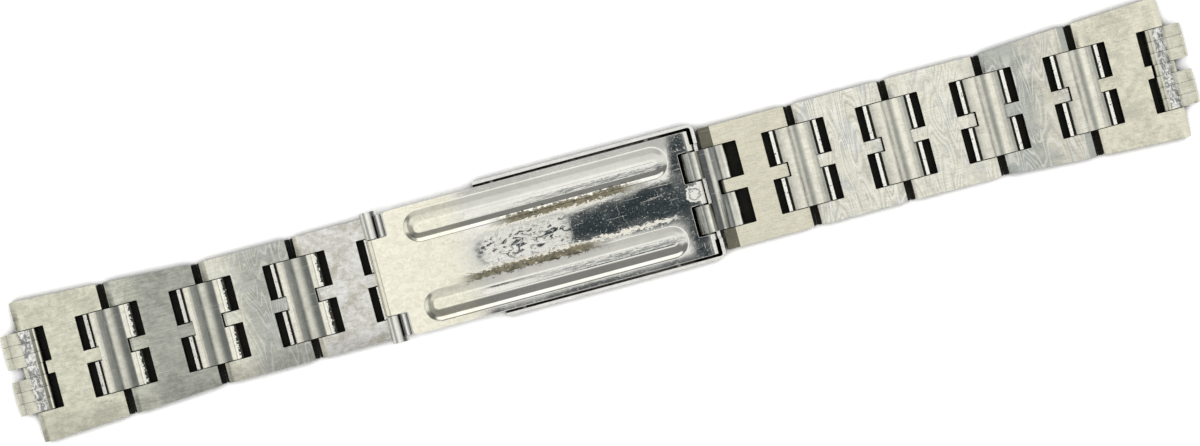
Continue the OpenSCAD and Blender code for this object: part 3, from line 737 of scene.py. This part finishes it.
def link_piece(n):
    """A folded link plate with its pockets and tongues."""
    x0 = pin_places(n)[0] - PIN_INSET
    x1 = x0 + LINK_L
    rank = n if n <= 5 else 11 - n
    case_side = CASE_W if rank == 1 else SHOULDER_W if rank == 2 else LINK_W
    clasp_side = SHOULDER_W if rank == 1 else LINK_W
    width_a, width_b = (case_side, clasp_side) if n <= 5 else (clasp_side, case_side)
    bend_a = CLASP_BEND_L if n == 6 else BEND_L
    plate = block(f"link_plate_{n:02d}", x0, x1, -width_a / 2, width_a / 2, 0, LINK_T)
    pick(plate, verts=lambda v: v.x > x1 - 0.01)
    bpy.ops.transform.resize(value=(1, width_b / width_a, 1), center_override=(x1, 0, 0))
    done()
    # corners seen from above, then the bend lines on the wrist side and the seam between the two sheets
    seam_z = LINK_T - LINK_SHEET
    seam_h = 0.07
    pick(plate, edges=upright)
    bpy.ops.mesh.bevel(offset=0.18, segments=3, affect="EDGES")
    score((1, 0, 0), x0 + bend_a, x1 - BEND_L)
    score((0, 0, 1), LINK_SHEET, seam_z - seam_h, seam_z)
    done()
    shift(plate, lambda v: v.z > LINK_T - 0.01 and (v.x < x0 + 0.3 or v.x > x1 - 0.3), (0, 0, -BEND_H))
    sink(plate, lambda c, n: abs(n.z) < 0.5 and abs(c.z - seam_z + seam_h / 2) < 0.03)
    for way, end, lip in ((-1, x0, n not in (1, 6)), (1, x1, n not in (5, 10))):
        if lip:
            pick(plate, faces=lambda c, n: n.x * way > 0.95 and c.z < LINK_SHEET and abs(c.x - end) < 0.05)
            bpy.ops.mesh.extrude_region_move(TRANSFORM_OT_translate={"value": (way * LIP_L, 0, 0)})
            done()
    plate.data.materials.append(plate_satin[n])
    # the pockets are lined with painted shade
    combine(plate, pocket_cutter(x0, CLASP_POCKET_L if n == 6 else POCKET_L, 1, n != 1), lining=shade_and_joint_lining)
    combine(plate, pocket_cutter(x1, POCKET_L, -1, n != 10), lining=shade_and_joint_lining)
    finish(plate, 0.045)
    repaint(plate, plate_satin[n], lambda c: abs(c.y) < TONGUE_W / 2 + 0.05 and c.z > 1.9)
    # the ends of the lower sheet are painted near black, as shade in the gaps between links
    repaint(plate, shade_and_joint_lining, lambda c: c.z < LINK_SHEET + 0.02 and (c.x < x0 + 0.02 or c.x > x1 - 0.02))
    if n == 6:
        # painted shade on link 6's bend beside the clasp
        repaint(plate, painted_shade_strip, lambda c: c.z > LINK_T - BEND_H - 0.1 and c.x < x0 + bend_a - 0.02)
    return plate


for n in range(1, 11):
    fit(link_piece(n), f"link_{n:02d}", "brushed_link_steel", f"link_{n:02d}")


# connectors

CONN_TOP = PIN_Z + BARREL_R
DOME_R = DOME_W ** 2 / (8 * DOME_H) + DOME_H / 2
# the sheet's edge beyond each pin, from the barrel up over the flange to the foot of the dome
CONN_END = PIN_SPAN / 2 + BARREL_R - 0.01
FLANGE = [(CONN_END, 1.96), (CONN_END - 0.04, 2.04), (2.66, 2.07), (2.61, 2.03), (2.59, 1.97), (2.38, 1.97),
          (2.34, 2.2), (2.28, CONN_TOP - 0.02), (2.16, CONN_TOP), (1.78, CONN_TOP)]


def connector_outline(middle):
    """Side view of a connector: a dome over the gap and a cut edge beyond each pin."""
    half = PIN_SPAN / 2
    swing = math.degrees(math.asin(DOME_W / 2 / DOME_R))
    dome = arc(0, CONN_TOP + DOME_H - DOME_R, DOME_R, 90 - swing, 90 + swing, 22)
    right = arc(half, PIN_Z, BARREL_R - 0.01, -90, 0, 9) + FLANGE
    left = [(-x, z) for x, z in reversed(right)]
    floor = [(-half + 0.45, 0.62), (-half + 0.75, 0.78), (half - 0.75, 0.78), (half - 0.45, 0.62)]
    return [(x + middle, z) for x, z in right + dome + left + floor]


def connector_piece(n):
    """A connector, named after the link on its left."""
    middle = (pin_places(n)[1] + pin_places(n + 1)[0]) / 2
    half = PIN_SPAN / 2
    piece = outline_solid(f"connector_fold_{n:02d}", connector_outline(middle), -CONN_W / 2, CONN_W / 2)
    piece.data.materials.append(dome_left if n < 6 else dome_right)
    inside = [(middle - 1.2, 1.14), (middle + 1.2, 1.14)]
    inside += arc(middle, CONN_TOP + DOME_H - DOME_R, DOME_R - CONN_SHEET, 56, 124, 12)
    # the inside of the connector is lined with painted shade
    combine(piece, outline_solid("inside", inside, -CONN_W / 2 - 0.5, CONN_W / 2 + 0.5), lining=shade_and_joint_lining)
    for side in (-1, 1):
        deep = (side < 0) == (n > 5)
        end = half - (SLOT_DEEP if deep else SLOT_SHALLOW)
        # the flange runs on over the nose of the tongue
        nose_end, under = (1.7, 2.0) if deep else (2.08, 2.235)
        # the slots are lined with painted shade
        for start, height in ((end, under), (nose_end, 4)):
            slot = block("slot", *stretch(middle, side, start, half + 2), -SLOT_W / 2, SLOT_W / 2, 0, height)
            combine(piece, slot, lining=shade_and_joint_lining)
        bore(piece, RUN_R, 7, middle + side * half, PIN_Z)
    finish(piece, 0.03)

    def edge(c):
        return 2.58 < abs(c.x - middle) and c.z > 1.9

    def step(c):
        return 2.33 < abs(c.x - middle) < 2.62 and 1.9 < c.z < 2.12

    # painted shade on the step below the flange
    repaint(piece, shade_and_joint_lining, step)
    # painted glints on the cut edges, and on the torn ones fading into painted shade
    repaint(piece, glinting_cut_edge, edge)
    repaint(piece, glinting_torn_edge, lambda c: n < 6 and c.x > middle and (edge(c) or step(c)))
    return piece


for n in (1, 2, 3, 4, 6, 7, 8, 9):
    fit(connector_piece(n), f"connector_{n:02d}", "connector_steel", f"connector_{n:02d}")


# end links

# the wrist side between the two barrels, in distance from the case's spring bar and height
END_VALLEY = [(0.7, 2.555), (0.95, 2.54), (1.15, 2.51), (1.35, 2.455), (1.55, 2.39), (1.75, 2.335),
              (1.95, 2.3), (2.15, 2.285), (2.35, 2.285), (2.5, 2.29), (2.65, 2.29), (2.75, 2.287)]


def end_outline(lug_x, way, span):
    """Side view of an end link, from its outer end to the link pin."""
    points = arc(0, PIN_Z, LUG_R, 270, 90, 12) + END_VALLEY + arc(span, PIN_Z, BARREL_R, 82, -87, 13)
    points += [(span - 0.6, PIN_Z - BARREL_R + 0.25), (0.6, PIN_Z - LUG_R + 0.25)]
    return [(lug_x + way * x, z) for x, z in points]


def end_piece(name, lug_x, pin_x, seed):
    """An end link of rolled leaves side by side, the middle one cut short for the notch."""
    chance = random.Random(seed)
    way = 1 if pin_x > lug_x else -1
    half = CONN_W / 2
    leaf = CONN_W / LEAVES
    seams = [-half + n * leaf for n in range(1, LEAVES)]
    piece = outline_solid(name, end_outline(lug_x, way, abs(pin_x - lug_x)), -half, half)
    piece.data.materials.append(end_satin)
    for place in [seam + side for seam in seams for side in (-0.02, 0.02)]:
        pick(piece, faces=lambda c, n: True)
        score((0, 1, 0), place)
        done()
    sink(piece, lambda c, n: abs(n.y) < 0.5 and min(abs(c.y - seam) for seam in seams) < 0.015)
    # the seams between the leaves are painted near black, as dark joints
    repaint(piece, shade_and_joint_lining, lambda c: min(abs(c.y - seam) for seam in seams) < 0.021)
    for n in range(LEAVES):
        middle = -half + (n + 0.5) * leaf
        drop = chance.uniform(-0.04, 0.0)
        shift(piece, lambda v: abs(v.y - middle) < leaf / 2 - 0.01 and v.z > 1.9, (0, 0, drop))
    # the notch is lined with painted shade
    notch = block("notch", *stretch(lug_x, way, -2, NOTCH_L), -leaf / 2 - 0.035, leaf / 2 + 0.035, 0, 3)
    combine(piece, notch, lining=shade_and_joint_lining)
    bore(piece, LUG_BORE_R, half + 1, lug_x, PIN_Z, 48)
    bore(piece, RUN_R, half + 1, pin_x, PIN_Z)
    return finish(piece, 0.03)


first_pin, last_pin = pin_places(1)[0], pin_places(10)[1]
end_a = end_piece("end_leaves_a", first_pin - PIN_INSET - LUG_X, first_pin, 4)
fit(end_a, "end_link_a", "end_link_steel", "end_link_a")
end_b = end_piece("end_leaves_b", last_pin + PIN_INSET + LUG_X, last_pin, 9)
fit(end_b, "end_link_b", "end_link_steel", "end_link_b")


# clasp blades

FOLD_Z = 3.5
COVER_PIN_X, JOINT_X, JOINT_Z = 8.3, 13.1, 1.9
INNER_L = math.hypot(JOINT_X - FOLD_X, JOINT_Z - FOLD_Z)
INNER_TILT = math.atan2(FOLD_Z - JOINT_Z, JOINT_X - FOLD_X)
MIDDLE_L = math.hypot(COVER_PIN_X - FOLD_X, PIN_Z - FOLD_Z)
MIDDLE_TILT = math.atan2(FOLD_Z - PIN_Z, COVER_PIN_X - FOLD_X)
CENTRE_KNUCKLE, KNUCKLE_GAP, CORNER_KNUCKLE = 5.0, 0.1, 8.6
RIB_Y, RIB_W = 5.25, 4.3
# how far in from a rib's foot, and how high above the sheet, its swell passes
SWELL = ((0.1, 0.012), (0.2, 0.04), (0.3, 0.08), (0.42, 0.132), (0.54, 0.184), (0.66, 0.228), (0.8, 0.262),
         (0.96, 0.296), (1.14, 0.334), (1.3, 0.368), (1.42, 0.39), (1.54, 0.404), (1.66, 0.41))


def capsule(name, x0, x1, y, width, z0, z1, sides=48):
    """A long block with half-round ends."""
    r = width / 2
    deselect()
    bpy.ops.mesh.primitive_cylinder_add(
        vertices=sides, radius=r / math.cos(math.pi / sides), depth=z1 - z0,
        location=(x0 + r, y, (z0 + z1) / 2), rotation=(0, 0, math.pi / sides))
    piece = named(name)
    shift(piece, lambda v: v.x > x0 + r, (x1 - x0 - width, 0, 0))
    return piece


def press_rib(piece, x0, x1, y, width, sheet_top, rise=1.0, hollow=0.4, lean=0.0):
    """Presses a long rib up out of a sheet, with a hollow below it; lean moves its crest along Y."""
    hollow_top = sheet_top - hollow + 0.42 * rise
    below = capsule("below", x0 + 0.6, x1 - 0.6, y, width - 1.2, sheet_top - 1, hollow_top)
    pick(below, faces=lambda c, n: n.z > 0.5)
    bpy.ops.mesh.bevel(offset=0.35 * rise, segments=4, affect="EDGES")
    done()
    combine(piece, below)
    combine(piece, capsule("rib", x0, x1, y, width, sheet_top - 0.15, sheet_top + 0.01), "UNION")
    crown = sheet_top + 0.005
    pick(piece, faces=lambda c, n: n.z > 0.9 and c.z > crown and abs(c.y - y) < 0.6 and x0 < c.x < x1)
    last_inset, last_height = 0.0, 0.01
    for inset, height in SWELL:
        inset *= width / RIB_W
        height *= rise
        bpy.ops.mesh.inset(thickness=inset - last_inset, depth=height - last_height)
        if lean:
            bpy.ops.transform.translate(value=(0, lean * (inset - last_inset), 0))
        last_inset, last_height = inset, height
    done()


def swing_down(piece, tilt):
    """Puts a blade, drawn flat from its fold hinge, at its place and slope."""
    take(piece)
    piece.location = (FOLD_X, 0, FOLD_Z)
    piece.rotation_euler = (0, tilt, 0)
    bpy.ops.object.transform_apply(location=True, rotation=True, scale=False)
    return piece


def inner_blade_piece():
    """The ribbed blade that shows on the wrist side."""
    low = KNUCKLE_R - BLADE_SHEET
    meet = math.degrees(math.asin(low / KNUCKLE_R))
    outline = arc(0, 0, KNUCKLE_R, 90, 360 + meet, 30) + arc(INNER_L, 0, KNUCKLE_R, 180 - meet, 450, 30)
    half = BLADE_W / 2
    corner_l = 2
    blade = outline_solid("inner_blade_sheet", outline, -half, half)
    blade.data.materials.append(blade_polish)
    for side in (-1, 1):
        corner = block("corner", -2, corner_l, *stretch(0, side, CENTRE_KNUCKLE, half + 1), -2, 2)
        soften(corner, lambda a, b: upright(a, b) and a.x > 1.9 and abs(a.y) < CENTRE_KNUCKLE + 0.1, 0.35, 4)
        combine(blade, corner)
        window = block("window", INNER_L - 1.45, INNER_L + 2, *stretch(0, side, 1.5, 5.5), -2, 2)
        soften(window, lambda a, b: upright(a, b) and a.x < INNER_L, 0.15, 3)
        combine(blade, window)
    soften(blade, lambda a, b: abs(a.z - b.z) > 0.3 and max(abs(a.x - corner_l), abs(b.x - corner_l)) < 0.02
           and abs(a.y) > half - 0.02, 0.55, 5)
    bore(blade, RUN_R, CENTRE_KNUCKLE + 1, 0, 0)
    bore(blade, RUN_R, half + 1, INNER_L, 0)
    bevel(blade, 0.09, 3)
    for side, lean in ((-1, 0.08), (1, -0.2)):
        press_rib(blade, 4.05, INNER_L - 2.75, side * RIB_Y, RIB_W, KNUCKLE_R, lean=lean)
    finish(blade)
    return swing_down(blade, INNER_TILT)


def middle_blade_piece():
    """The blade below it, whose knuckles and curled ends show at the corners."""
    half = 8.0
    low = -BLADE_SHEET / 2
    blade = block("middle_blade_sheet", KNUCKLE_R + KNUCKLE_GAP, MIDDLE_L, -half, half, low, -low)
    blade.data.materials.append(lower_polish)
    inner = CENTRE_KNUCKLE + KNUCKLE_GAP
    knuckle = arc(0, 0, KNUCKLE_R, 12, 348, 30) + [(1.32, -0.185), (1.32, 0.185)]
    # the curled end of the strip stands up beside the knuckle
    curl = [(1.04, -0.1), (1.02, 0.6), (1.1, 0.74), (1.3, 0.8)]
    curl += [(1.58, 0.79), (1.74, 0.72), (1.81, 0.58), (1.81, -0.1)]
    for side in (-1, 1):
        ear = outline_solid("ear", knuckle, *stretch(0, side, inner, CORNER_KNUCKLE))
        combine(blade, ear, "UNION", knuckle_polish)
        lip = outline_solid("lip", curl, *stretch(0, side, inner + 0.02, half - 0.06))
        combine(blade, lip, "UNION", knuckle_polish)
    cover_knuckle = rod("cover_knuckle", KNUCKLE_R, -half + 0.1, half - 0.1, MIDDLE_L, 0, 44)
    combine(blade, cover_knuckle, "UNION", lower_polish)
    bore(blade, RUN_R, half + 1, MIDDLE_L, 0)
    bevel(blade, 0.07, 3)
    for side in (-1, 1):
        press_rib(blade, 5, MIDDLE_L - 10.1, side * RIB_Y, 2.6, -low, 0.6, 0.38)
    finish(blade)
    return swing_down(blade, MIDDLE_TILT)


fit(inner_blade_piece(), "inner_blade", "polished_steel", "inner_blade")
fit(middle_blade_piece(), "middle_blade", "polished_steel", "middle_blade")


# clasp cover and its hinges

COVER_X0, COVER_X1, COVER_W, COVER_H, COVER_SHEET = -14.7, 14.55, 17.8, 2.9, 0.4
TAB_W, TAB_CLEAR = 2.6, 0.11
BAR_X, ADJUST_STEP, ADJUST_R, ADJUST_COUNT = -12.22, 2.5, 0.38, 4


def cover_piece():
    """A folded tray, open where the bracelet enters it and between the tabs at its other end."""
    half = COVER_W / 2
    inner_half = half - COVER_SHEET
    inside_end = JOINT_X + KNUCKLE_R + TAB_CLEAR
    tray = block("cover_tray", COVER_X0, COVER_X1, -half, half, 0, COVER_H)
    soften(tray, lambda a, b: upright(a, b) and a.x > 0, 1.0, 10)
    inside = block("inside", COVER_X0 - 2, inside_end, -inner_half, inner_half, COVER_SHEET, COVER_H + 1)
    soften(inside, lambda a, b: upright(a, b) and a.x > 0, 0.35, 5)
    soften(inside, lambda a, b: abs(a.z - b.z) < 0.01 and a.z < 0.5 and abs(a.y - b.y) < 0.01, 0.25, 4)
    tray.data.materials.append(cover_satin)
    # the inside of the tray is lined with painted shade
    combine(tray, inside, lining=cover_inside)
    mouth_half = half - TAB_W
    mouth = block("mouth", inside_end - 0.3, COVER_X1 + 1, -mouth_half, mouth_half, COVER_SHEET, COVER_H + 1)
    combine(tray, mouth, lining=cover_satin)
    for n in range(ADJUST_COUNT):
        bore(tray, ADJUST_R, half + 1, BAR_X + n * ADJUST_STEP, PIN_Z, 28)
    bore(tray, SEAT_R, half + 1, COVER_PIN_X, PIN_Z, 28)
    finish(tray, 0.09, 3)
    repaint(tray, cover_satin, lambda c: c.z > COVER_H - 0.13)
    return tray


def blade_connector_piece():
    """Two barrels on the blade's hinge, a web and the rolled end that holds the first link."""
    half = CONN_W / 2
    rise = JOINT_Z - PIN_Z
    span = ROLL_X - JOINT_X
    roll = 1.3
    outline = arc(0, 0, 1.2, 28, 332, 34)
    outline += [(1.5, -rise - 0.42)]
    outline += arc(span, -rise, roll, 222, 236, 2)
    outline += arc(span, -rise, BARREL_R, 270, 300, 4)
    outline += arc(span, -rise, roll, -30, 118, 22)
    outline += [(span - 0.86, -rise + 1.04), (span - 1.22, -rise + 0.72), (span - 1.42, -rise + 0.6)]
    outline += [(1.34, 0.28)]
    piece = outline_solid("blade_connector_roll", outline, -half, half)
    piece.data.materials.append(roll_steel)
    # the gap between the barrels and the slot are lined with painted shade
    combine(piece, block("gap", -3, 1.45, -1.7, 1.7, -3, 3), lining=shade_and_joint_lining)
    slot = block("slot", span - SLOT_SHALLOW, span + 3, -SLOT_W / 2, SLOT_W / 2, -4, 3)
    soften(slot, lambda a, b: upright(a, b) and a.x < span, 0.18, 4)
    combine(piece, slot, lining=shade_and_joint_lining)
    bore(piece, RUN_R, half + 1, 0, 0)
    bore(piece, RUN_R, half + 1, span, -rise)
    finish(piece, 0.06, 3)
    take(piece)
    piece.location = (JOINT_X, 0, JOINT_Z)
    bpy.ops.object.transform_apply(location=True)
    return piece


fit(cover_piece(), "cover", "cover_steel", "clasp_cover")
fit(blade_connector_piece(), "blade_connector", "polished_steel", "blade_connector")


# pieces kept as the CAD drew them

KEPT = {"clasp_connector": conn_satin, "blade_hinge_pin": lower_polish, "spring_bar_spring": spring_steel}
KEPT |= {name: pin_steel for name in ("cover_hinge_pin", "connector_hinge_pin", "spring_bar_tube",
                                      "spring_bar_tip_a", "spring_bar_tip_b")}
KEPT |= {f"link_pins_{n:02d}": pin_steel for n in range(1, 11)}
for name, steel in KEPT.items():
    nodes[name].data.materials.clear()
    nodes[name].data.materials.append(steel)


# floor, light and camera

WHITE = (1.0, 1.0, 1.0)
FLOOR_GAIN = 1.35
FLOOR_TONE, PAINTED_SHADOW_TONE = (0.8, 0.8, 0.79), (0.04, 0.04, 0.035)
CONTACT_REACH = 1.7
SKY_SHADOW = (0.036, 0.05, 0.06)
# the camera's turn, then in metres its height, the width that it frames and how far it stands off centre
TURN = math.radians(14.97)
CAMERA_UP, FRAME_W = 0.4, 0.15404
CAMERA_SHIFT = 0.435 * MM
SENSOR_W = 36


def studio_floor():
    """Pale paper that is white to the camera, with a shadow painted where a piece lies on it or close by."""
    deselect()
    bpy.ops.mesh.primitive_grid_add(x_subdivisions=8, y_subdivisions=8, size=3.0, location=(0, 0, -0.05 * MM))
    floor = named("floor")
    made = Finish("floor_paper", metallic=0.0)
    # painted shadow on the floor where a piece closes it in
    clear = made.openness(CONTACT_REACH, samples=6).ramp(0.3, 0.8)
    mirrored = made.ray("Glossy").or_more(made.ray("Transmission"))
    colour = made.mix(mirrored, FLOOR_TONE, made.mix(clear, PAINTED_SHADOW_TONE, WHITE))
    colour = made.mix(made.ray("Camera"), colour, made.mix(clear, PAINTED_SHADOW_TONE, scaled(WHITE, FLOOR_GAIN)))
    paper = made.value("ShaderNodeBsdfDiffuse", {"Color": colour})
    made.feed(made.tree.nodes["Material Output"].inputs["Surface"], paper)
    floor.data.materials.append(made.material)


def overhead_shadow(x, y, z):
    """How far the sky is darkened by the viewer overhead, whom the polished blade mirrors."""
    along, sideways = x / z, y / z
    spread = along.ramp(0.031, 0.039, -0.001, 0.0046) + along.ramp(0.06, 0.096, 0.0, 0.0026)
    spread = spread + along.ramp(0.1015, 0.1055, 0.0, 0.016)
    viewer = (abs(sideways - 0.0005) - spread).ramp(-0.0005, 0.0005, 1.0, 0.0)
    viewer = viewer * along.ramp(0.1095, 0.112, 1.0, 0.0)
    # duller bands that lie along its edges
    edge = abs(sideways + 0.022).ramp(0.0036, 0.0048, 0.92, 0.0)
    far_edge = abs(sideways - 0.022).ramp(0.0036, 0.0048, 0.45, 0.0)
    return viewer.or_more((edge + far_edge) * along.window(0.0, 0.012, 0.105, 0.12))


def studio_world():
    """A bright ceiling that falls off to the sides, with a small dark place overhead."""
    world = bpy.data.worlds.new("studio")
    bpy.context.scene.world = world
    world.use_nodes = True
    sky = Nodes(world.node_tree)
    x, y, z = sky.axes(sky.value("ShaderNodeTexCoord", {}, "Generated"))
    level = z.ramp(0.0, 0.3, 0.8, 1.08)
    # each side: where its tone starts and is reached, that tone, where the low tone starts, that low tone
    for source, starts, reached, tone, falls, low_tone in (
            (x, 0.15, 0.5, 0.86, 0.9, 0.86), (-x, 0.12, 0.4, 0.82, 0.9, 0.86),
            (y, 0.2, 0.5, 0.6, 0.8, 0.3), (-y, 0.08, 0.3, 0.24, 0.54, 1.2)):
        level = level * source.ramp(starts, reached, 1.0, tone)
        level = level * source.ramp(falls, falls + 0.09, 1.0, low_tone / tone)
    # a dull strip low on the left, mirrored at the round ends of the ribs
    strip = x.ramp(-0.56, -0.46, 0.0, 0.6) * x.ramp(-0.36, -0.26, 1.0, 0.0)
    shaded = sky.mix(overhead_shadow(x, y, z).or_more(strip), level, SKY_SHADOW)
    sky.feed(sky.tree.nodes["Background"].inputs["Color"], sky.mix(sky.ray("Camera"), shaded, WHITE))


def studio_light():
    """A softbox overhead, a little to the near side."""
    data = bpy.data.lights.new("softbox", "AREA")
    data.energy = 1.6
    data.size = 0.5
    light = bpy.data.objects.new("softbox", data)
    bpy.context.scene.collection.objects.link(light)
    light.location = (-0.02, -0.05, 0.6)
    light.rotation_euler = (-light.location).to_track_quat("-Z", "Y").to_euler()
    light.visible_glossy = False


def studio_camera():
    """Straight down on the wrist side, turned so that the bracelet climbs to the right."""
    data = bpy.data.cameras.new("camera")
    data.sensor_width = SENSOR_W
    data.lens = SENSOR_W * (CAMERA_UP - LINK_T * MM) / FRAME_W
    data.clip_end = 50
    camera = bpy.data.objects.new("camera", data)
    bpy.context.scene.collection.objects.link(camera)
    camera.location = (-CAMERA_SHIFT * math.sin(TURN), -CAMERA_SHIFT * math.cos(TURN), CAMERA_UP)
    camera.rotation_euler = (0, 0, -TURN)
    bpy.context.scene.camera = camera


studio_floor()
studio_world()
studio_light()
studio_camera()
bpy.context.scene.view_settings.view_transform = "Standard"
